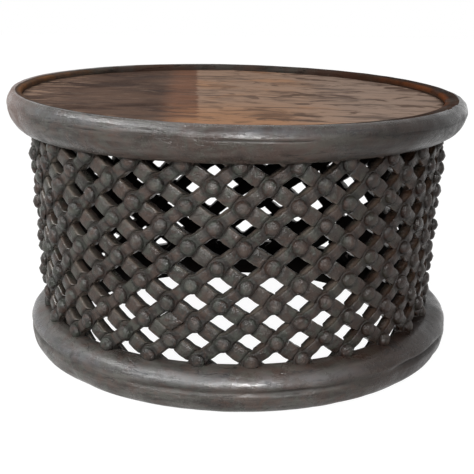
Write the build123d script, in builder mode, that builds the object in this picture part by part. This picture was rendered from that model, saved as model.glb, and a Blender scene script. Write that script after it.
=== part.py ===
"""Round african drum table: a hollow drum of crossing straps under a thick round top.

A top rim holds a recessed tray panel. Under it stands an open wall of two layers of slanting
straps, rising straps outside and falling straps inside, and a rounded base ring carries the
wall. Every crossing of two straps wears a pointed stud, and one opening was never cut through.
Millimetres, +Z up, origin on the floor below the middle of the table.
"""
import os
from math import atan, cos, pi, radians, sin

from build123d import *

# Hewn rolls: the rim and the base ring are worked round in narrow flats
narrow_roll_flat_count = 3
wide_roll_flat_count = 4

# Top rim: a thick roll, widest near its top, with a lip round the tray and a ledge under it
overall_height = 458.0
top_radius = 400.0
crown_reach = 16.0
crown_drop = 26.0
lip_width = 33.0
lip_bevel = 4.0
ledge_thickness = 27.0
rim_overhang = 5.0

# Tray panel: the round board let into the rim
tray_depth = 11.0
tray_thickness = 35.0
tray_clearance = 0.3

# Base ring: a roll with a flat seat for the straps and a flat foot
base_height = 68.0
base_widest_height = 42.0
base_bulge = 34.0
base_foot_tuck = 27.0
base_shoulder = 3.0

# Strap wall, measured at its outer face
wall_inset = 41.0
wall_taper = 13.0
wall_seat_margin = 8.0

# Straps: as many rise to the right as fall to it, and each crosses every row once
strap_count = 27
row_count = 11
first_row_rise = 5.6
last_row_drop = 6.2
strap_width = 26.0
rising_thickness = 12.0
falling_thickness = 10.0
lap_clearance = 0.25
column_lean_angle = 3.25
first_column_angle = -86.0

# Studs: four-sided points, one on each crossing
stud_width = 21.0
stud_height = 9.0
stud_root = 2.0

# Uncut web: the one opening that is still filled
web_column_number = -2
web_row_number = 2
web_thickness = 18.0
web_recess = 2.0
web_clearance = 0.3

# Levels
tray_top = overall_height - tray_depth
tray_seat = tray_top - tray_thickness
rim_bottom = tray_seat - ledge_thickness
first_row_level = base_height + first_row_rise
row_pitch = (rim_bottom - last_row_drop - first_row_level) / (row_count - 1)

# Radii
lip_radius = top_radius - lip_width
wall_top_radius = top_radius - wall_inset
wall_bottom_radius = wall_top_radius - wall_taper
lap_depth = rising_thickness + lap_clearance
wall_thickness = lap_depth + falling_thickness
rim_foot_radius = wall_top_radius + rim_overhang
rim_bore_radius = wall_top_radius - wall_thickness - wall_seat_margin
base_shoulder_radius = wall_bottom_radius + base_shoulder
base_radius = base_shoulder_radius + base_bulge
base_bore_radius = wall_bottom_radius - wall_thickness - wall_seat_margin

# Angles, in radians: the columns of crossings lean, so the straps rise a little steeper than they fall
column_pitch = 2 * pi / strap_count
lean_step = radians(column_lean_angle) / (row_count - 1)
rising_step = column_pitch / 2 - lean_step
falling_step = column_pitch / 2 + lean_step
first_angle = radians(first_column_angle)


def wall_radius(level, depth):
    """Radius, at a level, of the surface a given depth inside the wall's outer face."""
    share = (level - base_height) / (rim_bottom - base_height)
    return wall_bottom_radius + wall_taper * share - depth


def strap_slope(radius, step):
    """Angle of a strap to the horizontal, for its turn round the axis from row to row."""
    return atan(row_pitch / (radius * step))


def upright_plane(angle):
    """Plane through the table's axis, with x outwards and y up."""
    return Plane(origin=(0, 0, 0), x_dir=(cos(angle), sin(angle), 0), z_dir=(sin(angle), -cos(angle), 0))


def facet_plane(angle, level, depth):
    """Plane on the wall, with x along the wall, y up and z outwards."""
    radius = wall_radius(level, depth)
    outward = (cos(angle), sin(angle), 0)
    return Plane(
        origin=(radius * cos(angle), radius * sin(angle), level),
        x_dir=(-sin(angle), cos(angle), 0),
        z_dir=outward,
    )


def hewn_quarter(centre, reach, rise, flats):
    """Points of a quarter ellipse, from beside its centre to above or below it."""
    points = []
    for flat in range(flats + 1):
        angle = pi / 2 * flat / flats
        points.append((centre[0] + reach * cos(angle), centre[1] + rise * sin(angle)))
    return points


def fold_corners(row, depth, thickness, step, turn):
    """Corners of a strap's section at a fold: lower outer, lower inner, upper inner, upper outer."""
    level = first_row_level + row * row_pitch
    half_height = strap_width / 2 / cos(strap_slope(wall_radius(level, depth), step))
    section = upright_plane(first_angle + turn * row * step)
    corners = []
    for side, layer in ((-1, depth), (-1, depth + thickness), (1, depth + thickness), (1, depth)):
        corner_level = level + side * half_height
        corner_radius = wall_radius(corner_level, layer) / cos(step / 2)
        corners.append(section.from_local_coords(Vector(corner_radius, corner_level)))
    return corners


def flat_face(*corners):
    """Flat face between three or more corners."""
    return Face(Wire.make_polygon(corners))


def bent_strap(depth, thickness, step, turn):
    """Strap bent round the wall with a flat facet at each row, from base ring to rim."""
    folds = []
    for fold in range(row_count + 1):
        folds.append(fold_corners(fold - 0.5, depth, thickness, step, turn))
    faces = [flat_face(*folds[0]), flat_face(*folds[-1])]
    for near, far in zip(folds, folds[1:]):
        low_outer, low_inner, high_inner, high_outer = near
        next_low_outer, next_low_inner, next_high_inner, next_high_outer = far
        faces.append(flat_face(low_outer, next_low_outer, next_high_outer, high_outer))
        faces.append(flat_face(low_inner, next_low_inner, next_high_inner, high_inner))
        faces.append(flat_face(low_outer, low_inner, next_low_inner))
        faces.append(flat_face(low_outer, next_low_inner, next_low_outer))
        faces.append(flat_face(high_outer, high_inner, next_high_outer))
        faces.append(flat_face(high_inner, next_high_inner, next_high_outer))
    with BuildPart() as strap:
        add(Solid(Shell(faces)))
        split(bisect_by=Plane.XY.offset(rim_bottom), keep=Keep.BOTTOM)
        split(bisect_by=Plane.XY.offset(base_height), keep=Keep.TOP)
    return strap.part


def opening_corners(radius, clearance):
    """Upper and right corner of an opening between four straps, from its middle, less a clearance."""
    climb = {}
    reach = {}
    for step in (rising_step, falling_step):
        slope = strap_slope(radius, step)
        climb[step] = row_pitch / (radius * step)
        reach[step] = row_pitch * column_pitch / 2 / step - (strap_width / 2 + clearance) / cos(slope)
    total_climb = climb[rising_step] + climb[falling_step]
    upper_x = (reach[falling_step] - reach[rising_step]) / total_climb
    right_x = (reach[falling_step] + reach[rising_step]) / total_climb
    upper = Vector(upper_x, climb[rising_step] * upper_x + reach[rising_step])
    right = Vector(right_x, climb[rising_step] * right_x - reach[rising_step])
    return upper, right


def write_node(solid, name):
    """Label a finished piece and write its STEP file."""
    solid.label = name
    export_step(solid, f"parts/{name}.step")


os.makedirs("parts", exist_ok=True)

with BuildPart() as top_rim:
    with BuildSketch(Plane.XZ):
        with BuildLine():
            widest_height = overall_height - crown_drop
            crown_centre = (top_radius - crown_reach, widest_height)
            bulge_centre = (rim_foot_radius, widest_height)
            crown = Polyline(hewn_quarter(crown_centre, crown_reach, crown_drop, narrow_roll_flat_count))
            bulge_reach = top_radius - rim_foot_radius
            bulge_rise = rim_bottom - widest_height
            bulge = Polyline(hewn_quarter(bulge_centre, bulge_reach, bulge_rise, wide_roll_flat_count))
            Polyline(
                crown @ 1,
                (lip_radius, overall_height),
                (lip_radius, tray_seat),
                (rim_bore_radius, tray_seat),
                (rim_bore_radius, rim_bottom),
                bulge @ 1,
            )
        make_face()
    revolve(axis=Axis.Z)
    lip_edge = top_rim.edges().group_by(Axis.Z)[-1].sort_by(SortBy.RADIUS)[0]
    chamfer(lip_edge, lip_bevel)
write_node(top_rim.part, "top_rim")

with BuildPart() as tray_panel:
    with BuildSketch(Plane.XY.offset(tray_seat)):
        Circle(lip_radius - tray_clearance)
    extrude(amount=tray_thickness)
write_node(tray_panel.part, "tray_panel")

with BuildPart() as base_ring:
    with BuildSketch(Plane.XZ):
        with BuildLine():
            upper_centre = (base_shoulder_radius, base_widest_height)
            lower_centre = (base_radius - base_foot_tuck, base_widest_height)
            upper_rise = base_height - base_widest_height
            lower_rise = -base_widest_height
            upper = Polyline(hewn_quarter(upper_centre, base_bulge, upper_rise, wide_roll_flat_count))
            lower = Polyline(hewn_quarter(lower_centre, base_foot_tuck, lower_rise, narrow_roll_flat_count))
            Polyline(upper @ 1, (base_bore_radius, base_height), (base_bore_radius, 0), lower @ 1)
        make_face()
    revolve(axis=Axis.Z)
write_node(base_ring.part, "base_ring")

# Rising strap: the outer layer, which carries the studs
rising_blank = bent_strap(0, rising_thickness, rising_step, 1)
with BuildPart() as rising_strap:
    add(rising_blank)
    for row in range(row_count):
        level = first_row_level + row * row_pitch
        angle = first_angle + row * rising_step
        slope = strap_slope(wall_radius(level, 0), rising_step)
        with BuildSketch(facet_plane(angle, level, stud_root), mode=Mode.PRIVATE) as stud_foot:
            Rectangle(stud_width, stud_width, rotation=slope * 180 / pi)
        stud_point = Vertex(facet_plane(angle, level, -stud_height).origin)
        loft(sections=(stud_foot.sketch, stud_point), ruled=True)
    split(bisect_by=Plane.XY.offset(rim_bottom), keep=Keep.BOTTOM)
    split(bisect_by=Plane.XY.offset(base_height), keep=Keep.TOP)

# Falling strap: the inner layer, which passes behind every rising strap
falling_blank = bent_strap(lap_depth, falling_thickness, falling_step, -1)

for number in range(strap_count):
    turn = 360 / strap_count * number
    write_node(rising_strap.part.rotate(Axis.Z, turn), f"rising_strap_{number + 1:02d}")
    write_node(falling_blank.rotate(Axis.Z, turn), f"falling_strap_{number + 1:02d}")

# Uncut web: fills one opening between four straps
web_angle = first_angle + web_row_number * rising_step + (web_column_number - 0.5) * column_pitch
web_level = first_row_level + web_row_number * row_pitch
web_back_depth = web_recess + web_thickness
web_corner, web_side_corner = opening_corners(wall_radius(web_level, web_back_depth), web_clearance)
with BuildPart() as uncut_web:
    with BuildSketch(facet_plane(web_angle, web_level, web_back_depth)):
        Polygon(web_corner, web_side_corner, -web_corner, -web_side_corner, align=None)
    extrude(amount=web_thickness)
write_node(uncut_web.part, "uncut_web")
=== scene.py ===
import math

import bpy
from mathutils import Matrix, Quaternion, Vector, noise


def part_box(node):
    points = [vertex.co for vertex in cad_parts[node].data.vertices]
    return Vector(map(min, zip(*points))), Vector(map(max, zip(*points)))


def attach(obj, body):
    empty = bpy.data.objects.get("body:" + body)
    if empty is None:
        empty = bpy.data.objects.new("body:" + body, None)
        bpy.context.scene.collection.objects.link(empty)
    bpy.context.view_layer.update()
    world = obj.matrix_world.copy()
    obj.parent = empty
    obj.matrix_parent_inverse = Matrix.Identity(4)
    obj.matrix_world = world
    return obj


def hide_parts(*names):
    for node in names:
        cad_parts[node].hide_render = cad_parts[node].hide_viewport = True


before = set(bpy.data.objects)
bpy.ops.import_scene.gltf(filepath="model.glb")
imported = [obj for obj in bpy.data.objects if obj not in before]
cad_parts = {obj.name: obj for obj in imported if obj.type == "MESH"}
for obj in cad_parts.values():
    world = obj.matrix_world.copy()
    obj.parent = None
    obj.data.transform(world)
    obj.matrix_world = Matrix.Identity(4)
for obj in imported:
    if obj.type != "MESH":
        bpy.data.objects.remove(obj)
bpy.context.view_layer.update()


def placeObject(name, data):
    placed = bpy.data.objects.new(name, data)
    bpy.context.scene.collection.objects.link(placed)
    return placed


def plug(tree, socket, value):
    # another socket is linked, a plain value is set
    value = getattr(value, "socket", value)
    if isinstance(value, bpy.types.NodeSocket):
        tree.links.new(value, socket)
    else:
        socket.default_value = value


def addNode(tree, kind, inputs=None, **settings):
    node = tree.nodes.new(kind)
    for name, value in settings.items():
        setattr(node, name, value)
    for name, value in (inputs or {}).items():
        plug(tree, node.inputs[name], value)
    return node


viewSettings = {
    "distance": 1.601,     # metres in front of the table's axis
    "side": 0.0016,
    "height": 0.632,
    "pitchDown": 0.2790,   # radians
    "roll": 0.011,
    "lens": 68.03,
}


def makeCamera():
    camera = bpy.data.cameras.new("viewCamera")
    camera.lens = viewSettings["lens"]
    cameraObject = placeObject("viewCamera", camera)
    pitch = viewSettings["pitchDown"]
    roll = viewSettings["roll"]
    forward = Vector((0, math.cos(pitch), -math.sin(pitch)))
    right = Vector((1, 0, 0))
    up = right.cross(forward)
    rolledRight = right * math.cos(roll) + up * math.sin(roll)
    rolledUp = up * math.cos(roll) - right * math.sin(roll)
    turn = Matrix((rolledRight, rolledUp, -forward)).transposed().to_4x4()
    place = Matrix.Translation((viewSettings["side"], -viewSettings["distance"], viewSettings["height"]))
    cameraObject.matrix_world = place @ turn
    bpy.context.scene.camera = cameraObject


makeCamera()
print("camera placed")


rimLow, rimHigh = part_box("top_rim")
trayLow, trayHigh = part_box("tray_panel")
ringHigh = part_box("base_ring")[1]
hair = 0.001                 # metres, for telling one face from the next

wall = {
    "strapCount": 27,
    "rowCount": 11,
    "topInset": 0.041,       # from the rim's widest point in to the wall's face
    "taper": 0.013,
    "firstRowRise": 0.0056,  # above the base ring
    "lastRowDrop": 0.0062,   # below the rim
    "lean": math.radians(3.25),
    "firstAngle": math.radians(-86),
    "risingWidth": 0.0217,
    "fallingWidth": 0.0250,
    "lapDepth": 0.01225,     # where the outer layer ends and the inner one starts
    "fullDepth": 0.02225,
}
rimBottom = rimLow.z
ringTop = ringHigh.z
wallTopRadius = rimHigh.x - wall["topInset"]
wallBottomRadius = wallTopRadius - wall["taper"]
firstRowLevel = ringTop + wall["firstRowRise"]
rowPitch = (rimBottom - wall["lastRowDrop"] - firstRowLevel) / (wall["rowCount"] - 1)
columnPitch = 2 * math.pi / wall["strapCount"]
leanStep = wall["lean"] / (wall["rowCount"] - 1)
risingStep = columnPitch / 2 - leanStep
fallingStep = columnPitch / 2 + leanStep


def wallRadius(level):
    share = (level - ringTop) / (rimBottom - ringTop)
    return wallBottomRadius + wall["taper"] * share


def clamp(value, least=0.0):
    return max(least, min(1.0, value))


class Shading:
    # for wiring a material's nodes

    def __init__(self, name):
        self.material = bpy.data.materials.new(name)
        self.material.use_nodes = True
        self.tree = self.material.node_tree
        self.coords = addNode(self.tree, "ShaderNodeTexCoord").outputs["Object"]
        self.base = None     # the colour so far, which paint goes over

    def finish(self, name, value):
        plug(self.tree, self.tree.nodes["Principled BSDF"].inputs[name], value)

    def stretched(self, scale):
        inputs = {"Vector": self.coords, "Scale": scale}
        return addNode(self.tree, "ShaderNodeMapping", inputs).outputs["Vector"]

    def noise(self, scale, detail, roughness=0.5, vector=None, distortion=0.0):
        return addNode(self.tree, "ShaderNodeTexNoise", {
            "Vector": vector or self.coords,
            "Scale": scale,
            "Detail": detail,
            "Roughness": roughness,
            "Distortion": distortion,
        }).outputs["Fac"]

    def cells(self, scale, vector=None):
        inputs = {"Vector": vector or self.coords, "Scale": scale}
        return addNode(self.tree, "ShaderNodeTexVoronoi", inputs, feature="SMOOTH_F1").outputs["Distance"]

    def window(self, value, low, high, start=0.0, end=1.0, smooth=True):
        inputs = {"Value": value, "From Min": low, "From Max": high, "To Min": start, "To Max": end}
        kind = "SMOOTHSTEP" if smooth else "LINEAR"
        return addNode(self.tree, "ShaderNodeMapRange", inputs, interpolation_type=kind).outputs["Result"]

    def math(self, operation, first, second=0.0):
        return addNode(self.tree, "ShaderNodeMath", {0: first, 1: second}, operation=operation).outputs[0]

    def times(self, first, second):
        return self.math("MULTIPLY", first, second)

    def blend(self, share, first, second, mode="MIX"):
        inputs = {0: share, 6: first, 7: second}
        return addNode(self.tree, "ShaderNodeMix", inputs, data_type="RGBA", blend_type=mode).outputs[2]

    def paint(self, share, tone, mode="MIX"):
        self.base = self.blend(share, self.base, tone, mode)

    def grey(self, value):
        return addNode(self.tree, "ShaderNodeCombineColor", {0: value, 1: value, 2: value}).outputs["Color"]

    def axes(self, names):
        outputs = addNode(self.tree, "ShaderNodeSeparateXYZ", {0: self.coords}).outputs
        return [outputs[name] for name in names]

    def attribute(self, name):
        return addNode(self.tree, "ShaderNodeAttribute", attribute_name=name).outputs["Fac"]

    def bump(self, height, strength, distance, normal=None):
        inputs = {"Height": height, "Strength": strength, "Distance": distance}
        if normal:
            inputs["Normal"] = normal
        return addNode(self.tree, "ShaderNodeBump", inputs).outputs["Normal"]


def srgb(red, green, blue):
    # screen values 0-255 to a linear colour
    def straighten(value):
        value /= 255
        return value / 12.92 if value <= 0.04045 else ((value + 0.055) / 1.055) ** 2.4
    return (straighten(red), straighten(green), straighten(blue), 1)


# the old finish on the rim, the ring and the straps, with tones for painted sheen, glints and shade
patina = {
    "dark": srgb(40, 36, 33),
    "grey": srgb(78, 74, 70),
    "brown": srgb(74, 57, 49),
    "red": srgb(84, 54, 40),
    "moss": srgb(73, 76, 68),
    "stain": srgb(92, 22, 12),
    "warm": srgb(92, 62, 48),
    # a brown tint for the painted shade on the right
    "rightShadeTint": srgb(218, 184, 164),
    "worn": srgb(132, 92, 62),
    # a bluish grey painted on the polished bands as sheen
    "paintedSheenGrey": srgb(100, 102, 106),
    # a pale tone for rubbed edges and painted glints
    "rubbedAndSheen": srgb(150, 138, 126),
    "dust": srgb(134, 126, 118),
    # near black, for cracks and for painted shade
    "crackAndShade": srgb(17, 13, 10),
    # near black for the inside: soot, and painted shade
    "inside": srgb(9, 7, 6),
    "sootAndShade": srgb(20, 15, 12),
}
rimLook = {
    "wearAndSheenTone": "paintedSheenGrey",     # the patina colour that shows where hands have rubbed; on rim and ring a painted sheen, on the lattice painted glints as well
    "worn": 0.75,
    "polish": 0.24,             # how much smoother the rubbed places are
    "roughness": 0.24,
    "specular": 0.25,
    "brown": 0.5,
    "mottle": 0.35,
    "cracks": 0.9,
    "paintedDark": 0.7,
    "stain": 0.8,               # the reddish ends to the left and right
    "facets": 0.25,             # strengths of the bumps: adze flats, knife marks, grain
    "marks": 0.45,
    "relief": 0.5,
    "shade": 1.0,               # brightness, and what painted shade leaves of it to the right
    "rightShade": 0.08,
    "grain": (1.0, 1.0, 7.0),
}
lipLook = {
    "wearAndSheenTone": "worn",
    "worn": 1.0,
    "polish": 0.0,
    "roughness": 0.55,
    "specular": 0.01,
    "brown": 1.0,
    "mottle": 0.3,
    "cracks": 0.7,
    "paintedDark": 0.7,
    "stain": 0.0,
    "facets": 0.25,
    "marks": 0.3,
    "relief": 0.5,
    "shade": 0.7,
    "rightShade": 0.9,
    "grain": (1.0, 1.0, 5.0),
}
ringLook = {
    "wearAndSheenTone": "paintedSheenGrey",
    "worn": 0.75,
    "polish": 0.20,
    "roughness": 0.26,
    "specular": 0.31,
    "brown": 0.35,
    "mottle": 0.35,
    "cracks": 0.8,
    "paintedDark": 0.7,
    "stain": 0.0,
    "facets": 0.30,
    "marks": 0.5,
    "relief": 0.5,
    "shade": 1.3,
    "rightShade": 0.13,
    "grain": (1.0, 1.0, 7.0),
}
latticeLook = {
    "wearAndSheenTone": "rubbedAndSheen",
    "worn": 0.55,
    "polish": 0.18,
    "roughness": 0.27,
    "specular": 0.25,
    "brown": 0.45,
    "mottle": 1.0,
    "cracks": 0.25,
    "paintedDark": 0.5,
    "stain": 0.0,
    "facets": 0.5,
    "marks": 1.8,
    "relief": 1.0,
    "shade": 0.58,
    "rightShade": 0.55,
    "grain": (1.0, 1.0, 2.0),
}


def patinatedWood(name, look):
    wood = Shading(name)
    broad = wood.noise(4.2, detail=3, roughness=0.55)
    patches = wood.noise(19.0, detail=6, roughness=0.62, distortion=0.5)
    mottle = wood.noise(56.0, detail=5, roughness=0.6, distortion=0.6)
    specks = wood.noise(360.0, detail=3, roughness=0.6)
    along = wood.stretched(look["grain"])
    grain = wood.noise(14.0, detail=9, roughness=0.68, vector=along)
    lines = wood.noise(6.5, detail=5, roughness=0.6, vector=along, distortion=0.4)
    wear = wood.attribute("wear")
    grime = wood.attribute("grime")

    wood.base = wood.blend(wood.window(grain, 0.34, 0.66), patina["dark"], patina["grey"])
    wood.paint(wood.times(wood.window(broad, 0.44, 0.62), look["brown"]), patina["brown"])
    wood.paint(wood.window(patches, 0.56, 0.74, 0.0, 0.5), patina["red"])
    wood.paint(wood.window(mottle, 0.51, 0.60, 0.0, look["mottle"] * 0.9), patina["moss"])
    wood.paint(wood.window(mottle, 0.49, 0.40, 0.0, look["mottle"]), patina["brown"])
    wood.paint(wood.window(patches, 0.42, 0.26, 0.0, 0.6), patina["dark"])

    offLine = wood.math("ABSOLUTE", wood.math("SUBTRACT", lines, 0.5))
    crackMask = wood.times(wood.window(offLine, 0.014, 0.002), wood.window(patches, 0.45, 0.55))
    wood.paint(wood.times(crackMask, look["cracks"]), patina["crackAndShade"])
    wood.paint(wood.window(specks, 0.66, 0.74, 0.0, 0.45), patina["dust"])

    # rubbed places take the worn tone: wear, with painted sheen on the rim and ring and painted glints on the
    # lattice
    rubbedAndSheen = wood.times(wear, wood.window(patches, 0.35, 0.62, 0.25, 1.0))
    wood.paint(wood.times(rubbedAndSheen, look["worn"]), patina[look["wearAndSheenTone"]])
    # painted shade in the creases, in the grooves round the bosses and at the knobs' feet
    wood.paint(wood.times(grime, look["paintedDark"]), patina["crackAndShade"])

    # reddish stains to the left and right, then painted shade: darker and browner towards the right
    x, z = wood.axes("XZ")
    wood.paint(wood.window(x, -0.3, -0.39, 0.0, look["stain"]), patina["warm"])
    stained = wood.times(wood.window(x, 0.37, 0.395), wood.window(z, 0.425, 0.445))
    wood.paint(wood.times(stained, look["stain"]), patina["stain"])
    shade = wood.window(x, 0.05, 0.38, look["shade"], look["shade"] * look["rightShade"])
    wood.paint(1.0, wood.grey(shade), "MULTIPLY")
    wood.paint(wood.window(x, 0.08, 0.3), patina["rightShadeTint"], "MULTIPLY")
    wood.finish("Base Color", wood.base)
    wood.finish("Specular IOR Level", look["specular"])

    waxed = wood.window(patches, 0.32, 0.66, look["roughness"] - 0.04, look["roughness"] + 0.2)
    rough = wood.math("ADD", waxed, wood.window(specks, 0.4, 0.75, 0.0, 0.12))
    rough = wood.math("SUBTRACT", rough, wood.times(wear, look["polish"]))
    wood.finish("Roughness", wood.math("ADD", rough, wood.times(grime, 0.3)))

    # rubbed places have lost most of their knife marks and grain
    calm = wood.math("SUBTRACT", 1.0, wood.times(wear, 0.85))
    marks = wood.times(wood.noise(120.0, detail=4, roughness=0.6, distortion=0.8), calm)
    flats = wood.cells(46.0, vector=wood.stretched((1.0, 1.0, 0.8)))
    openCracks = wood.window(offLine, 0.014, 0.002, 1.0, 0.0)
    normal = wood.bump(flats, look["facets"], 0.002)
    normal = wood.bump(marks, look["marks"], 0.0016, normal)
    normal = wood.bump(wood.times(grain, calm), look["relief"], 0.0022, normal)
    normal = wood.bump(openCracks, look["cracks"] * 0.6, 0.0008, normal)
    wood.finish("Normal", wood.bump(specks, 0.35, 0.0005, normal))
    return wood.material


trayLook = {
    "umber": srgb(54, 41, 35),
    "brown": srgb(86, 68, 58),
    "tan": srgb(142, 118, 101),
    "orange": srgb(150, 110, 80),
    "rust": srgb(114, 81, 64),
    "grey": srgb(138, 119, 106),
    # painted shade for the adze scoops
    "scoopShade": srgb(74, 58, 49),
    "paleFrom": -0.0745,   # metres from the middle, where the pale wood starts
    "paleFull": -0.0690,
    "paleSlant": 0.0456,
    "specular": 0.01,
}


def trayWood():
    wood = Shading("oiledTrayWood")
    x, y = wood.axes("XY")

    def figure(scale, stretch, detail, roughness, distortion):
        return wood.noise(scale, detail, roughness, wood.stretched(stretch), distortion)

    blotches = figure(9.0, (0.7, 1.0, 1.0), detail=5, roughness=0.6, distortion=0.4)
    streaks = figure(20.0, (0.42, 1.5, 1.0), detail=9, roughness=0.66, distortion=0.6)
    scoops = figure(22.0, (0.75, 1.1, 1.0), detail=3, roughness=0.5, distortion=0.8)
    fine = figure(58.0, (0.3, 1.3, 1.0), detail=6, roughness=0.7, distortion=0.3)
    specks = wood.noise(340.0, detail=3)

    # the dark heartwood to the left
    slanted = wood.math("ADD", x, wood.times(y, trayLook["paleSlant"]))
    wood.base = wood.blend(wood.window(blotches, 0.36, 0.6), trayLook["umber"], trayLook["brown"])
    wood.paint(wood.window(slanted, -0.14, -0.105, 0.0, 0.75), trayLook["rust"])
    frontRust = wood.times(wood.window(y, -0.1, -0.29), wood.window(slanted, -0.14, -0.09))
    wood.paint(wood.times(frontRust, wood.window(streaks, 0.38, 0.6, 0.0, 0.8)), trayLook["orange"])

    # the pale wood to the right, with a ragged edge
    edge = wood.math("ADD", slanted, wood.window(fine, 0.35, 0.65, -0.005, 0.005, smooth=False))
    pale = wood.blend(wood.window(edge, 0.09, 0.2), trayLook["tan"], trayLook["grey"])
    nearEdge = wood.times(wood.window(y, -0.05, -0.25), wood.window(x, 0.12, 0.06))
    warm = wood.math("MAXIMUM", wood.times(nearEdge, 0.7), wood.window(blotches, 0.5, 0.64, 0.0, 0.6))
    pale = wood.blend(wood.times(warm, wood.window(edge, 0.2, 0.1)), pale, trayLook["orange"])
    wood.paint(wood.window(edge, trayLook["paleFrom"], trayLook["paleFull"], 0.0, 0.92), pale)

    # grain over both, its light and dark streaks partly painted highlight and shade, and painted shade in the
    # adze scoops
    wood.paint(wood.window(streaks, 0.52, 0.38, 0.0, 0.68), trayLook["umber"])
    wood.paint(wood.window(fine, 0.54, 0.70, 0.0, 0.45), trayLook["tan"])
    wood.paint(wood.window(fine, 0.46, 0.32, 0.0, 0.55), trayLook["umber"])
    leftStreaks = wood.times(wood.window(x, -0.24, -0.34), wood.window(fine, 0.48, 0.58))
    wood.paint(wood.times(leftStreaks, 0.7), trayLook["tan"])
    rightShare = wood.window(x, -0.1, 0.12, 0.35, 0.85)
    wood.paint(wood.times(wood.window(scoops, 0.45, 0.36), rightShare), trayLook["scoopShade"])
    wood.paint(wood.window(specks, 0.6, 0.75, 0.0, 0.3), trayLook["grey"])
    wood.finish("Base Color", wood.base)
    wood.finish("Roughness", wood.window(streaks, 0.3, 0.7, 0.55, 0.75))
    wood.finish("Specular IOR Level", trayLook["specular"])

    normal = wood.bump(scoops, 0.5, 0.004)
    normal = wood.bump(streaks, 0.6, 0.0024, normal)
    wood.finish("Normal", wood.bump(specks, 0.2, 0.0004, normal))
    return wood.material


def sootAndShadeWood():
    # the dull, dark inside of the drum: soot, and painted shade
    wood = Shading("sootedAndShadedInsideWood")
    patches = wood.noise(24.0, detail=5, roughness=0.6)
    tone = wood.blend(wood.window(patches, 0.35, 0.7), patina["inside"], patina["sootAndShade"])
    wood.finish("Base Color", tone)
    wood.finish("Roughness", wood.window(patches, 0.3, 0.7, 0.8, 0.95))
    wood.finish("Normal", wood.bump(wood.cells(48.0), 0.4, 0.002))
    wood.finish("Specular IOR Level", 0.06)
    return wood.material


insideWood = sootAndShadeWood()
rimWood = patinatedWood("waxedRimWood", rimLook)
lipWood = patinatedWood("wornLipWood", lipLook)
ringWood = patinatedWood("waxedBaseWood", ringLook)
latticeWood = patinatedWood("carvedLatticeWood", latticeLook)
trayMaterial = trayWood()
print("materials made")


def addPiece(name, vertices, faces, material, wear=None, grime=None):
    mesh = bpy.data.meshes.new(name)
    mesh.from_pydata(vertices, [], faces)
    mesh.validate()
    mesh.polygons.foreach_set("use_smooth", [True] * len(mesh.polygons))
    mesh.materials.append(material)
    for layerName, values in (("wear", wear), ("grime", grime)):
        if values is not None:
            layer = mesh.attributes.new(layerName, "FLOAT", "POINT")
            layer.data.foreach_set("value", values)
    return placeObject(name, mesh)


def sootAndShadeInside(piece, radiusLimit, levelLimit):
    # faces towards the hollow, up to a level, take the dull inside wood, near black with soot and painted
    # shade
    piece.data.materials.append(insideWood)
    for face in piece.data.polygons:
        x, y, z = face.center
        if math.hypot(x, y) < radiusLimit and z < levelLimit:
            face.material_index = 1


def dress(piece, slotName, *nodes):
    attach(piece, "root")
    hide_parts(*nodes)


def quarterTurn(centre, reach, rise, count, power=1.0):
    # from beside the centre to above or below it, both ends included
    points = []
    for step in range(count + 1):
        angle = math.pi / 2 * step / count
        points.append((centre[0] + reach * max(0.0, math.cos(angle)) ** power,
                       centre[1] + rise * math.sin(angle) ** power))
    return points


def straightRun(start, end, count):
    # both ends left out
    return [(start[0] + (end[0] - start[0]) * n / count, start[1] + (end[1] - start[1]) * n / count)
            for n in range(1, count)]


def turnedRing(name, profile, material, slotName, node, shape, innerLimit, segments=320):
    # profile runs anticlockwise in (radius, height); shape moves a point in and down, never out
    vertices, faces, wear, grime = [], [], [], []
    count = len(profile)
    for segment in range(segments):
        angle = 2 * math.pi * segment / segments
        for radius, level in profile:
            newRadius, newLevel, rubAndSheen, paintedDark = shape(angle, radius, level)
            vertices.append((newRadius * math.cos(angle), newRadius * math.sin(angle), newLevel))
            wear.append(rubAndSheen)
            grime.append(paintedDark)
    for segment in range(segments):
        here = segment * count
        there = (segment + 1) % segments * count
        for point in range(count):
            following = (point + 1) % count
            faces.append((here + point, there + point, there + following, here + following))
    piece = addPiece(name, vertices, faces, material, wear, grime)
    sootAndShadeInside(piece, innerLimit, trayLow.z + hair)
    dress(piece, slotName, node)
    return piece


def handNoise(angle, radius, level, scale, seed):
    place = Vector((radius * math.cos(angle), radius * math.sin(angle), level)) * scale
    return noise.noise(place + Vector((seed, seed, seed)))


def roundNoise(angle, scale, seed):
    # the same at every level, so it changes only on the way round
    return handNoise(angle, 0.4, 0, scale, seed)


def handWork(shape, angle, radius, level):
    # what the hand took off: a slow wobble, adze facets wider than they are tall, and chips
    depth, scale, seed = shape["wobble"]
    wobble = (handNoise(angle, radius, level, scale, seed) * 0.5 + 0.5) * depth
    depth, scale, seed = shape["facets"]
    facets = abs(handNoise(angle, radius, level * 2.5, scale, seed)) * depth
    depth, scale, seed = shape["chips"]
    chips = max(0.0, handNoise(angle, radius, level, scale, seed) - 0.1) * depth
    return wobble, facets, chips


def creaseAt(shape, angle, level):
    # 1 in the middle of the crease, which drifts up and down and comes and goes
    reach, scale, seed = shape["creaseDrift"]
    drift = reach * roundNoise(angle, scale, seed)
    offCrease = (level - shape["creaseLevel"] - drift) / shape["creaseWidth"]
    change, scale, seed = shape["creaseBreaks"]
    deep = clamp(0.5 + roundNoise(angle, scale, seed) * change, shape["creaseLeast"])
    return deep * math.exp(-offCrease ** 2)


def polishAndSheenAt(shape, angle, level):
    # the band that hands and knees have polished, which also takes a painted sheen
    change, scale, seed = shape["sheenPatches"]
    patchy = 1 - change + change * roundNoise(angle, scale, seed)
    return patchy * math.exp(-((level - shape["sheenLevel"]) / shape["sheenWidth"]) ** 2)


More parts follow.
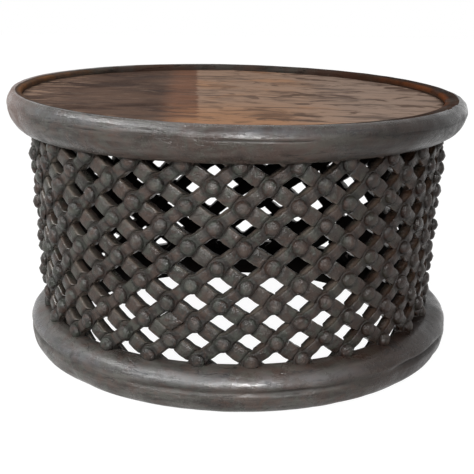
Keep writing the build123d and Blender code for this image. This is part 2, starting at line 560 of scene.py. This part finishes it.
rimShape = {
    "crownReach": 0.016,
    "crownDrop": 0.026,
    "lipWidth": 0.033,
    "lipShift": 0.007,       # the lip is wider to the right
    "lipShiftFade": 0.012,
    "lipRound": 0.005,
    "lipFall": 0.002,        # from the crest in to the lip's edge
    "overhang": 0.009,
    "fullness": 1.156,       # 1 is a round lower roll, more is leaner
    "lean": 0.0175,          # how far the crown leans down
    "leanTo": math.radians(-48.4),
    "boreMargin": 0.008,
    "darkInsideDepth": 0.012,      # inside the wall's face, the underside takes the dark inside wood: soot and painted shade
    "bellySteps": 26,
    "crownSteps": 20,
    "lipSteps": 6,
    "flatSteps": 4,
    "handFade": 0.01,
    # depth in metres, then the noise's scale and seed
    "wobble": (0.0009, 7, 1.5),
    "facets": (0.0010, 14, 9.2),
    "chips": (0.0016, 45, 4.2),
    "topBand": 0.008,        # below the crest, hand work lowers the top as well
    "creaseLevel": 0.4325,
    "creaseWidth": 0.0016,
    "creaseDepth": 0.0016,
    "creaseDrift": (0.003, 5, 7),
    "creaseBreaks": (2.2, 11, 3),
    "creaseLeast": 0.0,
    "sheenLevel": 0.4475,
    "sheenWidth": 0.0075,
    "sheenPatches": (0.45, 9, 21),
    "lipRubFrom": 0.022,     # the lip is worn to the left and right only
    "lipRubWidth": 0.008,
    "lipRubSides": 0.7,
}


def rimProfile():
    top = rimHigh.z
    outer = rimHigh.x
    lip = outer - rimShape["lipWidth"]
    widest = top - rimShape["crownDrop"]
    foot = wallTopRadius + rimShape["overhang"]
    bore = wallTopRadius - wall["fullDepth"] - rimShape["boreMargin"]
    seat = trayLow.z
    belly = (outer - foot, rimBottom - widest)
    points = quarterTurn((foot, widest), *belly, rimShape["bellySteps"], rimShape["fullness"])[::-1]
    crest = outer - rimShape["crownReach"]
    crown = (rimShape["crownReach"], rimShape["crownDrop"])
    points += quarterTurn((crest, widest), *crown, rimShape["crownSteps"])[1:]
    rounding = rimShape["lipRound"]
    lipTop = top - rimShape["lipFall"]
    points += straightRun(points[-1], (lip + rounding, lipTop), rimShape["flatSteps"])
    rounded = quarterTurn((lip + rounding, lipTop - rounding), -rounding, rounding, rimShape["lipSteps"])
    points += rounded[::-1]
    points += straightRun(points[-1], (lip, seat), rimShape["lipSteps"])
    points += [(lip, seat), (bore, seat), (bore, rimBottom)]
    points += straightRun((bore, rimBottom), (foot, rimBottom), rimShape["flatSteps"])
    return points


def crownLean(angle, level):
    # the hand-cut top is not level: it leans down to one side
    share = clamp((level - rimBottom) / (rimHigh.z - rimBottom))
    return rimShape["lean"] / 2 * (1 + math.cos(angle - rimShape["leanTo"])) * share


def shapeRim(angle, radius, level):
    inFromEdge = rimHigh.x - radius
    outerShare = clamp((rimShape["lipWidth"] - inFromEdge) / rimShape["handFade"])
    wobble, facets, chips = handWork(rimShape, angle, radius, level)
    crease = creaseAt(rimShape, angle, level) * outerShare
    inward = (wobble + facets + chips + crease * rimShape["creaseDepth"]) * outerShare

    shift, down = 0.0, 0.0
    if level > trayLow.z:
        onLip = clamp((inFromEdge - rimShape["crownReach"] * 0.4) / rimShape["lipShiftFade"])
        shift = rimShape["lipShift"] * math.cos(angle) * onLip
    if level > trayLow.z + hair or inFromEdge < rimShape["lipWidth"] - hair:
        down = crownLean(angle, level)
    if level > rimHigh.z - rimShape["topBand"] and radius > trayHigh.x:
        down += wobble * 0.6 + facets * 0.5

    # the crown's polished band takes a painted sheen as well as wear; the lip's sides are only worn
    rubAndSheen = 0.0
    if inFromEdge < rimShape["crownReach"] + 2 * hair:
        rubAndSheen = polishAndSheenAt(rimShape, angle, level) * outerShare
    elif level > trayHigh.z:
        innerEdge = clamp((inFromEdge - rimShape["lipRubFrom"]) / rimShape["lipRubWidth"])
        side = max(0.0, abs(math.cos(angle)) - rimShape["lipRubSides"]) / (1 - rimShape["lipRubSides"])
        rubAndSheen = innerEdge * side
    # the crease is also painted darker as shade
    return radius - inward - shift, level - down, rubAndSheen, crease


def dullLip(piece):
    # the lip's top and inner side are duller than the waxed outside
    piece.data.materials.append(lipWood)
    crest = rimHigh.x - rimShape["crownReach"]
    for face in piece.data.polygons:
        x, y, z = face.center
        if math.hypot(x, y) < crest - hair and z > trayLow.z + hair:
            face.material_index = 2


rimInsideLimit = wallTopRadius - rimShape["darkInsideDepth"]
dullLip(turnedRing("topRim", rimProfile(), rimWood, "rim_wood", "top_rim", shapeRim, rimInsideLimit))
print("rim carved")


trayShape = {
    "rings": 60,
    "segments": 240,
    # depth in metres, then the noise's scale across and along, and its seed
    "waves": (0.0024, 8, 10, 2.0),
    "scoops": (0.0020, 24, 34, 5.0),
}


def traySurface(x, y):
    # waves and adze marks, which only ever cut down
    cut = 0.0
    for kind in ("waves", "scoops"):
        depth, scaleX, scaleY, seed = trayShape[kind]
        cut += (noise.noise(Vector((x * scaleX, y * scaleY, seed))) * 0.5 - 0.3) * depth
    return min(0.0, cut)


def makeTray():
    reach, top, bottom = trayHigh.x, trayHigh.z, trayLow.z
    rings, segments = trayShape["rings"], trayShape["segments"]
    vertices, faces = [], []

    # the tray leans with the crown
    lean = rimShape["lean"] / 2 / (rimHigh.x - rimShape["crownReach"])
    middle = top - lean * reach

    def place(radius, angle, level, leaning):
        share = radius / reach
        across = radius - rimShape["lipShift"] * math.cos(angle) * share
        x, y = across * math.cos(angle), across * math.sin(angle)
        if leaning:
            level = middle - lean * across * math.cos(angle - rimShape["leanTo"]) + traySurface(x, y)
        return (x, y, level)

    vertices.append(place(0, 0, top, True))
    for ring in range(1, rings + 1):
        for segment in range(segments):
            angle = 2 * math.pi * segment / segments
            vertices.append(place(reach * ring / rings, angle, top, True))
    for segment in range(segments):
        faces.append((0, 1 + segment, 1 + (segment + 1) % segments))
    for ring in range(rings - 1):
        here, there = 1 + ring * segments, 1 + (ring + 1) * segments
        for segment in range(segments):
            following = (segment + 1) % segments
            faces.append((here + segment, there + segment, there + following, here + following))
    rimStart = 1 + (rings - 1) * segments
    lowStart = len(vertices)
    for segment in range(segments):
        vertices.append(place(reach, 2 * math.pi * segment / segments, bottom, False))
    for segment in range(segments):
        following = (segment + 1) % segments
        faces.append((rimStart + segment, lowStart + segment, lowStart + following, rimStart + following))
    faces.append(tuple(lowStart + segment for segment in reversed(range(segments))))
    piece = addPiece("trayPanel", vertices, faces, trayMaterial)
    sootAndShadeInside(piece, reach, bottom + hair)
    dress(piece, "tray_wood", "tray_panel")


makeTray()
print("tray laid")


ringShape = {
    "widest": 0.042,
    "footTuck": 0.027,
    "footFullness": 0.8,
    "shoulder": 0.003,
    "innerEdge": 0.338,      # where the seat falls away into the hollow
    "innerFall": 0.020,
    "shift": 0.005,          # the foot stands a little to the right of the wall
    "boreMargin": 0.008,
    "darkInsideDepth": 0.010,
    "footSteps": 40,
    "shoulderSteps": 30,
    "flatSteps": 4,
    "handFade": 0.01,
    # depth in metres, then the noise's scale and seed
    "wobble": (0.0010, 6, 8.5),
    "facets": (0.0018, 13, 2.2),
    "chips": (0.0018, 40, 6.2),
    "creaseLevel": 0.0395,
    "creaseWidth": 0.0040,
    "creaseDepth": 0.0062,
    "creaseDrift": (0.004, 4, 11),
    "creaseBreaks": (1.8, 6, 5),
    "creaseLeast": 0.12,
    "sheenLevel": 0.0545,
    "sheenWidth": 0.0075,
    "sheenPatches": (0.4, 8, 31),
}


def ringProfile():
    outer = ringHigh.x
    shoulder = wallBottomRadius + ringShape["shoulder"]
    bore = wallBottomRadius - wall["fullDepth"] - ringShape["boreMargin"]
    widest = ringShape["widest"]
    tuck = ringShape["footTuck"]
    foot = outer - tuck
    flats = ringShape["flatSteps"]
    below = quarterTurn((foot, widest), tuck, -widest, ringShape["footSteps"], ringShape["footFullness"])
    above = quarterTurn((shoulder, widest), outer - shoulder, ringTop - widest, ringShape["shoulderSteps"])
    points = below[::-1] + above[1:]
    seatEdge = (ringShape["innerEdge"], ringTop)
    boreTop = (bore, ringTop - ringShape["innerFall"])
    points += straightRun(points[-1], seatEdge, flats)
    points += [seatEdge]
    points += straightRun(seatEdge, boreTop, flats)
    points += [boreTop, (bore, 0.0)]
    points += straightRun((bore, 0.0), (foot, 0.0), flats)
    return points


def shapeRing(angle, radius, level):
    outerShare = clamp((radius - wallBottomRadius) / ringShape["handFade"])
    wobble, facets, chips = handWork(ringShape, angle, radius, level)
    crease = creaseAt(ringShape, angle, level) * outerShare
    inward = (wobble + facets + chips + crease * ringShape["creaseDepth"]) * outerShare
    shift = ringShape["shift"] * math.cos(angle) * outerShare
    # the crease is also painted darker as shade
    return radius - inward + shift, level, polishAndSheenAt(ringShape, angle, level), crease


ringInsideLimit = wallBottomRadius - ringShape["darkInsideDepth"]
turnedRing("baseRing", ringProfile(), ringWood, "base_wood", "base_ring", shapeRing, ringInsideLimit)
print("base ring carved")


# the straps are carved by geometry nodes
class Field:
    # a socket that can be added and multiplied in plain sums

    tree = None

    def __init__(self, socket):
        self.socket = socket

    def combine(self, operation, other=0.0, swap=False):
        first, second = (other, self) if swap else (self, other)
        return Field(strapNode("ShaderNodeMath", {0: first, 1: second}, operation=operation).outputs[0])

    def __add__(self, other):
        return self.combine("ADD", other)

    def __radd__(self, other):
        return self.combine("ADD", other)

    def __sub__(self, other):
        return self.combine("SUBTRACT", other)

    def __rsub__(self, other):
        return self.combine("SUBTRACT", other, swap=True)

    def __mul__(self, other):
        return self.combine("MULTIPLY", other)

    def __truediv__(self, other):
        return self.combine("DIVIDE", other)

    def __rtruediv__(self, other):
        return self.combine("DIVIDE", other, swap=True)

    def __pow__(self, other):
        return self.combine("POWER", other)

    def sine(self):
        return self.combine("SINE")

    def cosine(self):
        return self.combine("COSINE")

    def size(self):
        return self.combine("ABSOLUTE")

    def sign(self):
        return self.combine("SIGN")

    def rounded(self):
        return self.combine("ROUND")

    def largest(self, other):
        return self.combine("MAXIMUM", other)

    def window(self, low, high):
        inputs = {"Value": self, "From Min": low, "From Max": high}
        node = strapNode("ShaderNodeMapRange", inputs, interpolation_type="SMOOTHSTEP")
        return Field(node.outputs["Result"])

    def peak(self, middle, width):
        # 1 at the middle, with a flat top and steep sides
        return 1 / (1 + ((self - middle) / width) ** 4)


def strapNode(kind, inputs=None, **settings):
    return addNode(Field.tree, kind, inputs, **settings)


def vectorOf(x, y, z):
    return strapNode("ShaderNodeCombineXYZ", {0: x, 1: y, 2: z}).outputs[0]


def partsOf(socket):
    return [Field(output) for output in strapNode("ShaderNodeSeparateXYZ", {0: socket}).outputs]


strapShape = {
    "sectionPoints": 24,
    "lengthSteps": 230,
    "intoRing": 0.012,         # how far the ends run on
    "intoRim": 0.010,
    "bowStarts": (-0.14, -0.02),    # in rows: where the bow begins and is full
    "notch": (0.2, 0.3),            # in rows from a crossing
    "rootWidens": (-0.25, -0.05),
    "rootWidth": 0.5,               # share of the width at the foot
    "edgeWearAndGlint": 0.95,
    "bowWearAndGlint": 0.2,
    "handDrift": [(11.0, 0.0055), (62.0, 0.0016)],   # noise scale and reach
}
collarShape = {
    "reach": 0.0158,         # the round boss under each knob
    "grooveReach": 0.0164,   # the cut that sets the boss off from the petals
    "grooveWidth": 0.0016,
    "grooveDepth": 0.0006,
    "footShadeReach": 0.0128,
    "pinchAt": 0.0180,       # the straps are nipped in beside the boss
    "pinchWidth": 0.0036,
    "pinch": 0.04,
}
knobShape = {
    "segments": 12,
    # radius and height of each turned step, in metres, from the strap to the tip
    "steps": [(0.0126, -0.0030), (0.0126, 0.0010), (0.0119, 0.0037), (0.0103, 0.0060),
              (0.0078, 0.0077), (0.0050, 0.0087), (0.0028, 0.0095)],
    "tip": 0.0105,
    "wornAndGlintFrom": 4,           # the step above which the knob is rubbed and painted lighter as a glint
    "tipWearAndGlint": 0.6,
    "tilt": (0.12, 0.16, 0.16),       # radians either way
    "smallest": (0.88, 0.88, 0.82),   # how much the hand varies each knob
    "largest": (1.08, 1.08, 1.12),
}
strapInputs = {
    "NodeSocketFloat": ["First Angle", "Turn Per Row", "Outer Depth", "Outer Rise", "Rise From", "Rise Full",
                        "Inner Depth", "Inner Drop", "Width", "Squareness", "Knob Size"],
    "NodeSocketObject": ["Knob"],
    "NodeSocketInt": ["Seed"],
    "NodeSocketMaterial": ["Wood", "Inside Wood"],
}


def wallPoint(angle, level, depth):
    # place on the wall, a depth inside its face
    share = (level - ringTop) / (rimBottom - ringTop)
    radius = share * wall["taper"] + wallBottomRadius - depth
    return vectorOf(radius * angle.cosine(), radius * angle.sine(), level)


def carvedBody(value):
    # a cylinder whose height becomes the way along the strap and whose round becomes its section
    lowEnd = (ringTop - strapShape["intoRing"] - firstRowLevel) / rowPitch
    highEnd = (rimBottom + strapShape["intoRim"] - firstRowLevel) / rowPitch
    blank = strapNode("GeometryNodeMeshCylinder", {
        "Vertices": strapShape["sectionPoints"],
        "Side Segments": strapShape["lengthSteps"],
        "Radius": 1,
        "Depth": 1,
    }, fill_type="TRIANGLE_FAN")
    x, y, z = partsOf(strapNode("GeometryNodeInputPosition").outputs[0])
    row = (z + 0.5) * (highEnd - lowEnd) + lowEnd
    offCrossing = (row - row.rounded()).size()
    bow = offCrossing.window(value("Rise From"), value("Rise Full")) * row.window(*strapShape["bowStarts"])
    notch = offCrossing.window(*strapShape["notch"])

    # a rounded square section
    power = 2.0 / value("Squareness")
    across = x.sign() * (x.size() ** power)
    outward = y.sign() * (y.size() ** power)
    outerShare = (outward + 1) * 0.5

    # half the strap's width here, with its boss, its nip and its narrow foot
    run = value("Turn Per Row") * wallBottomRadius
    slant = (run * run + rowPitch * rowPitch) ** 0.5
    along = offCrossing * slant
    nip = along.peak(collarShape["pinchAt"], collarShape["pinchWidth"])
    rootWidth = strapShape["rootWidth"]
    rooted = row.window(*strapShape["rootWidens"]) * (1 - rootWidth) + rootWidth
    ownWidth = value("Width") * 0.5 * (1 - nip * collarShape["pinch"]) * rooted
    collar = (collarShape["reach"] ** 2 - along * along).largest(0.0) ** 0.5
    halfWidth = across * ownWidth.largest(collar * value("Knob Size"))

    fromKnob = (along * along + halfWidth * halfWidth) ** 0.5
    groove = fromKnob.peak(collarShape["grooveReach"], collarShape["grooveWidth"])
    outer = value("Outer Depth") - value("Outer Rise") * bow + groove * collarShape["grooveDepth"]
    inner = value("Inner Depth") + value("Inner Drop") * notch
    depth = outer * outerShare + inner * (1 - outerShare)
    level = row * rowPitch + firstRowLevel + halfWidth * run.size() / slant
    sideways = halfWidth * run.sign() * rowPitch / slant / wallBottomRadius
    angle = value("First Angle") + row * value("Turn Per Row") - sideways

    # edges and bows are rubbed and painted lighter as glints
    rubAndSheen = across.size().window(0.78, 0.98) * strapShape["edgeWearAndGlint"] + bow * strapShape["bowWearAndGlint"]
    rubAndSheen = rubAndSheen * outerShare.window(0.3, 0.8)
    # painted shade in the groove and round the knob's foot
    footShade = fromKnob.peak(collarShape["footShadeReach"], collarShape["grooveWidth"])
    paintedDark = groove.largest(footShade) * outerShare
    innerSide = (1 - outerShare).window(0.45, 0.6)

    # these read the unmoved points, so they are stored first
    body = blank.outputs["Mesh"]
    for name, field in (("inner", innerSide), ("wear", rubAndSheen), ("grime", paintedDark)):
        inputs = {"Geometry": body, "Name": name, "Value": field}
        stored = strapNode("GeometryNodeStoreNamedAttribute", inputs, data_type="FLOAT", domain="POINT")
        body = stored.outputs[0]
    place = wallPoint(angle, level, depth)
    return strapNode("GeometryNodeSetPosition", {"Geometry": body, "Position": place}).outputs[0]


def varied(seed, low, high):
    inputs = {0: low, 1: high, "Seed": seed}
    return partsOf(strapNode("FunctionNodeRandomValue", inputs, data_type="FLOAT_VECTOR").outputs[0])


def knobRow(value):
    # knobs, one on each crossing
    line = strapNode("GeometryNodeMeshLine", {"Count": wall["rowCount"]}).outputs[0]
    index = Field(strapNode("GeometryNodeInputIndex").outputs[0])
    angle = value("First Angle") + index * value("Turn Per Row")
    place = wallPoint(angle, index * rowPitch + firstRowLevel, value("Outer Depth"))
    lowTilt = tuple(-tilt for tilt in knobShape["tilt"])
    tiltX, tiltY, tiltZ = varied(value("Seed"), lowTilt, knobShape["tilt"])
    growth = varied(value("Seed"), knobShape["smallest"], knobShape["largest"])
    pattern = strapNode("GeometryNodeObjectInfo", {"Object": value("Knob")}, transform_space="ORIGINAL")
    return strapNode("GeometryNodeInstanceOnPoints", {
        "Points": strapNode("GeometryNodeSetPosition", {"Geometry": line, "Position": place}).outputs[0],
        "Instance": pattern.outputs["Geometry"],
        "Rotation": vectorOf(tiltX, tiltY + math.pi / 2, tiltZ + angle),
        "Scale": vectorOf(*[size * value("Knob Size") for size in growth]),
    }).outputs[0]


def handDrifted(geometry):
    # the carver's hand: slow drift of the whole wall, and knife work on each face
    for scale, reach in strapShape["handDrift"]:
        place = strapNode("GeometryNodeInputPosition").outputs[0]
        drift = strapNode("ShaderNodeTexNoise", {"Vector": place, "Scale": scale, "Detail": 1.0})
        centred = {0: drift.outputs["Color"], 1: (reach,) * 3, 2: (-reach / 2,) * 3}
        offset = strapNode("ShaderNodeVectorMath", centred, operation="MULTIPLY_ADD").outputs[0]
        geometry = strapNode("GeometryNodeSetPosition", {"Geometry": geometry, "Offset": offset}).outputs[0]
    return geometry


def buildStrapTree():
    tree = bpy.data.node_groups.new("carvedStrap", "GeometryNodeTree")
    tree.is_modifier = True
    Field.tree = tree
    tree.interface.new_socket("Geometry", in_out="INPUT", socket_type="NodeSocketGeometry")
    for kind, names in strapInputs.items():
        for name in names:
            tree.interface.new_socket(name, in_out="INPUT", socket_type=kind)
    tree.interface.new_socket("Geometry", in_out="OUTPUT", socket_type="NodeSocketGeometry")
    given = strapNode("NodeGroupInput").outputs

    def value(name):
        return Field(given[name])

    joined = strapNode("GeometryNodeJoinGeometry", {0: knobRow(value)})
    tree.links.new(carvedBody(value), joined.inputs[0])
    whole = strapNode("GeometryNodeRealizeInstances", {0: joined.outputs[0]}).outputs[0]
    smooth = strapNode("GeometryNodeSetShadeSmooth", {0: handDrifted(whole)}).outputs[0]
    painted = strapNode("GeometryNodeSetMaterial", {"Geometry": smooth, "Material": value("Wood")}).outputs[0]

    # the side towards the hollow takes the dark inside wood: soot and painted shade
    innerSide = strapNode("GeometryNodeInputNamedAttribute", {"Name": "inner"}, data_type="FLOAT")
    sootedAndShaded = strapNode("GeometryNodeSetMaterial", {
        "Geometry": painted,
        "Selection": Field(innerSide.outputs["Attribute"]).combine("GREATER_THAN", 0.7),
        "Material": value("Inside Wood"),
    })
    strapNode("NodeGroupOutput", {0: sootedAndShaded.outputs[0]})
    return tree


def makeKnob():
    segments, steps = knobShape["segments"], knobShape["steps"]
    vertices, faces, wear = [], [], []
    for number, (radius, height) in enumerate(steps):
        for segment in range(segments):
            angle = 2 * math.pi * segment / segments
            vertices.append((radius * math.cos(angle), radius * math.sin(angle), height))
            wear.append(max(0.0, (number - knobShape["wornAndGlintFrom"]) / 5))
    vertices.append((0, 0, knobShape["tip"]))
    wear.append(knobShape["tipWearAndGlint"])
    for number in range(len(steps) - 1):
        here, there = number * segments, (number + 1) * segments
        for segment in range(segments):
            following = (segment + 1) % segments
            faces.append((here + segment, here + following, there + following, there + segment))
    last = (len(steps) - 1) * segments
    for segment in range(segments):
        faces.append((last + segment, last + (segment + 1) % segments, len(vertices) - 1))
    faces.append(tuple(reversed(range(segments))))
    return addPiece("knobPattern", vertices, faces, latticeWood, wear)


# the rising straps lie outside and carry the knobs, the falling ones bow out between them
risingStrap = {
    "Turn Per Row": risingStep,
    "Outer Depth": 0.0,
    "Outer Rise": 0.0007,
    "Rise From": 0.33,       # in rows from a crossing
    "Rise Full": 0.43,
    "Inner Depth": wall["lapDepth"] - 0.0003,
    "Inner Drop": wall["fullDepth"] - wall["lapDepth"] - 0.0008,
    "Width": wall["risingWidth"],
    "Squareness": 4.6,
    "Knob Size": 1.0,
}
fallingStrap = {
    "Turn Per Row": -fallingStep,
    "Outer Depth": wall["lapDepth"],
    "Outer Rise": 0.0131,
    "Rise From": 0.11,
    "Rise Full": 0.31,
    "Inner Depth": wall["fullDepth"],
    "Inner Drop": 0.0,
    "Width": wall["fallingWidth"] + 0.0005,
    "Squareness": 3.8,
    "Knob Size": 0.0,
}


def setInput(modifier, tree, name, value):
    for item in tree.interface.items_tree:
        if item.in_out == "INPUT" and item.name == name:
            modifier[item.identifier] = value


def carveStraps(tree, knob, family, looks, seedStart):
    for number in range(wall["strapCount"]):
        holder = placeObject("strapHolder", bpy.data.meshes.new("strapHolder"))
        modifier = holder.modifiers.new("carvedStrap", "NODES")
        modifier.node_group = tree
        for name, value in looks.items():
            setInput(modifier, tree, name, value)
        setInput(modifier, tree, "First Angle", wall["firstAngle"] + number * columnPitch)
        setInput(modifier, tree, "Knob", knob)
        setInput(modifier, tree, "Seed", seedStart + number)
        setInput(modifier, tree, "Wood", latticeWood)
        setInput(modifier, tree, "Inside Wood", insideWood)
        holder.data.update()
        bpy.context.view_layer.update()
        graph = bpy.context.evaluated_depsgraph_get()
        mesh = bpy.data.meshes.new_from_object(holder.evaluated_get(graph))
        bpy.data.objects.remove(holder)
        piece = placeObject(f"{family}Strap{number + 1:02d}", mesh)
        dress(piece, "lattice_wood", f"{family}_strap_{number + 1:02d}")


strapTree = buildStrapTree()
knobPattern = makeKnob()
carveStraps(strapTree, knobPattern, "rising", risingStrap, seedStart=100)
print("rising straps carved")
carveStraps(strapTree, knobPattern, "falling", fallingStrap, seedStart=300)
bpy.data.objects.remove(knobPattern)
print("falling straps carved")


webShape = {
    "column": -2.5,
    "row": 2,
    "grid": 16,
    "reach": 1.06,       # a little into the straps on all sides
    "edgeDepth": 0.0028,
    "bulge": 0.0052,
    "back": 0.0195,
    "knife": (0.0012, 2.2, 4.0),   # depth, noise scale and seed of the tool marks
    "wear": 0.25,
}


def makeWeb():
    # the one opening that was never cut through
    middleAngle = wall["firstAngle"] + webShape["row"] * risingStep + webShape["column"] * columnPitch
    middleLevel = firstRowLevel + webShape["row"] * rowPitch
    middleRadius = wallRadius(middleLevel)
    strapWidth = (wall["risingWidth"] + wall["fallingWidth"]) / 2
    halfTall = rowPitch - strapWidth / 2 / math.cos(math.atan(rowPitch / (middleRadius * risingStep)))
    halfWide = halfTall * middleRadius * columnPitch / 2 / rowPitch
    grid = webShape["grid"]
    vertices, faces = [], []

    def place(across, up, depth):
        side = (across + up) / 2 * halfWide * webShape["reach"]
        level = middleLevel + (up - across) / 2 * halfTall * webShape["reach"]
        angle = middleAngle + side / middleRadius
        radius = wallRadius(level) - depth
        return (radius * math.cos(angle), radius * math.sin(angle), level)

    def front(across, up):
        swell = (1 - abs(across) ** 3) * (1 - abs(up) ** 3)
        depth, scale, seed = webShape["knife"]
        knife = noise.noise(Vector((across * scale, up * scale, seed))) * depth
        return place(across, up, webShape["edgeDepth"] - webShape["bulge"] * swell + knife)

    def back(across, up):
        return place(across, up, webShape["back"])

    for side in (front, back):
        for row in range(grid + 1):
            for column in range(grid + 1):
                vertices.append(side(column / grid * 2 - 1, row / grid * 2 - 1))
    across = grid + 1
    layer = across ** 2
    for row in range(grid):
        for column in range(grid):
            corner = row * across + column
            far = layer + corner
            faces.append((corner, corner + 1, corner + across + 1, corner + across))
            faces.append((far, far + across, far + across + 1, far + 1))
    edge = list(range(grid)) + [row * across + grid for row in range(grid)]
    edge += [layer - 1 - step for step in range(grid)] + [(grid - row) * across for row in range(grid)]
    for here, following in zip(edge, edge[1:] + edge[:1]):
        faces.append((following, here, layer + here, layer + following))
    wear = [webShape["wear"]] * len(vertices)
    piece = addPiece("uncutWeb", vertices, faces, latticeWood, wear)
    dress(piece, "lattice_wood", "uncut_web")


makeWeb()
print("uncut web filled")


studio = {
    "floorReach": 9.0,
    "floorDrop": 0.0005,                     # below the table's foot
    "floorColour": (0.8, 0.8, 0.8, 1),       # as the object's light meets it
    "floorFaint": (0.12, 0.12, 0.12, 1),     # as it is seen, under its glow
    "floorGlow": 0.96,
    "worldColour": (1, 1, 1, 1),
    "worldLight": 0.42,
}
lamps = {
    "keyLight": {"place": (-2.0, -1.8, 1.7), "target": (0, 0, 0.2), "size": (0.7, 0.7), "power": 34},
    "stripLight": {"place": (-0.7, -2.7, 1.9), "target": (0, 0, 0.3), "size": (2.4, 0.3), "power": 48},
    "topLight": {"place": (-0.45, 0.1, 2.2), "target": (-0.1, 0, 0.4), "size": (0.2, 0.2), "power": 9},
    "fillLight": {"place": (1.6, -2.4, 1.2), "target": (0, 0, 0.2), "size": (1.2, 1.2), "power": 8},
    # the last three show only as gleams on the wax
    "gleamLight": {"place": (-1.4, -0.6, 1.97), "target": (-0.2, -0.3, 0.4), "size": (1.8, 0.26),
                   "power": 44, "turn": 0.57, "gleamOnly": True},
    "frontGleamLight": {"place": (0.0, -3.97, 3.77), "target": (0, -0.4, 0.3), "size": (2.4, 0.3),
                        "power": 56, "gleamOnly": True},
    "sparkLight": {"place": (0.25, -2.5, 1.35), "target": (0, -0.4, 0.25), "size": (0.12, 0.12),
                   "power": 75, "gleamOnly": True},
}


def seenRays(tree):
    # 1 for camera, glossy and transmission rays
    path = addNode(tree, "ShaderNodeLightPath").outputs
    total = path["Is Camera Ray"]
    for name in ("Is Glossy Ray", "Is Transmission Ray"):
        total = addNode(tree, "ShaderNodeMath", {0: total, 1: path[name]}, operation="MAXIMUM").outputs[0]
    return total


def makeFloor():
    reach, level = studio["floorReach"], -studio["floorDrop"]
    corners = [(-reach, -reach, level), (reach, -reach, level), (reach, reach, level), (-reach, reach, level)]
    mesh = bpy.data.meshes.new("studioFloor")
    mesh.from_pydata(corners, [], [(0, 1, 2, 3)])
    floor = placeObject("studioFloor", mesh)
    material = bpy.data.materials.new("whiteFloor")
    material.use_nodes = True
    tree = material.node_tree
    tree.nodes.remove(tree.nodes["Principled BSDF"])
    diffuse = addNode(tree, "ShaderNodeBsdfDiffuse", {"Color": studio["floorColour"]}).outputs[0]
    faint = addNode(tree, "ShaderNodeBsdfDiffuse", {"Color": studio["floorFaint"]}).outputs[0]
    glow = addNode(tree, "ShaderNodeEmission", {"Strength": studio["floorGlow"]}).outputs[0]
    seen = addNode(tree, "ShaderNodeAddShader", {0: faint, 1: glow}).outputs[0]
    mix = addNode(tree, "ShaderNodeMixShader", {0: seenRays(tree), 1: diffuse, 2: seen})
    plug(tree, tree.nodes["Material Output"].inputs["Surface"], mix.outputs[0])
    mesh.materials.append(material)


def makeWorld():
    world = bpy.data.worlds.new("studioWorld")
    bpy.context.scene.world = world
    world.use_nodes = True
    tree = world.node_tree
    background = tree.nodes["Background"]
    plug(tree, background.inputs["Color"], studio["worldColour"])
    inputs = {"Value": seenRays(tree), "To Min": studio["worldLight"], "To Max": 1.0}
    strength = addNode(tree, "ShaderNodeMapRange", inputs).outputs["Result"]
    plug(tree, background.inputs["Strength"], strength)


def softBox(name, place, target, size, power, turn=0.0, gleamOnly=False):
    lamp = bpy.data.lights.new(name, "AREA")
    lamp.shape = "RECTANGLE"
    lamp.size, lamp.size_y = size
    lamp.energy = power
    lampObject = placeObject(name, lamp)
    lampObject.location = place
    aim = (Vector(target) - Vector(place)).to_track_quat("-Z", "Y")
    lampObject.rotation_euler = (aim @ Quaternion((0, 0, 1), turn)).to_euler()
    lampObject.visible_diffuse = not gleamOnly


makeFloor()
makeWorld()
for lampName, lampSettings in lamps.items():
    softBox(lampName, **lampSettings)
bpy.context.scene.view_settings.view_transform = "Standard"
print("studio lit")
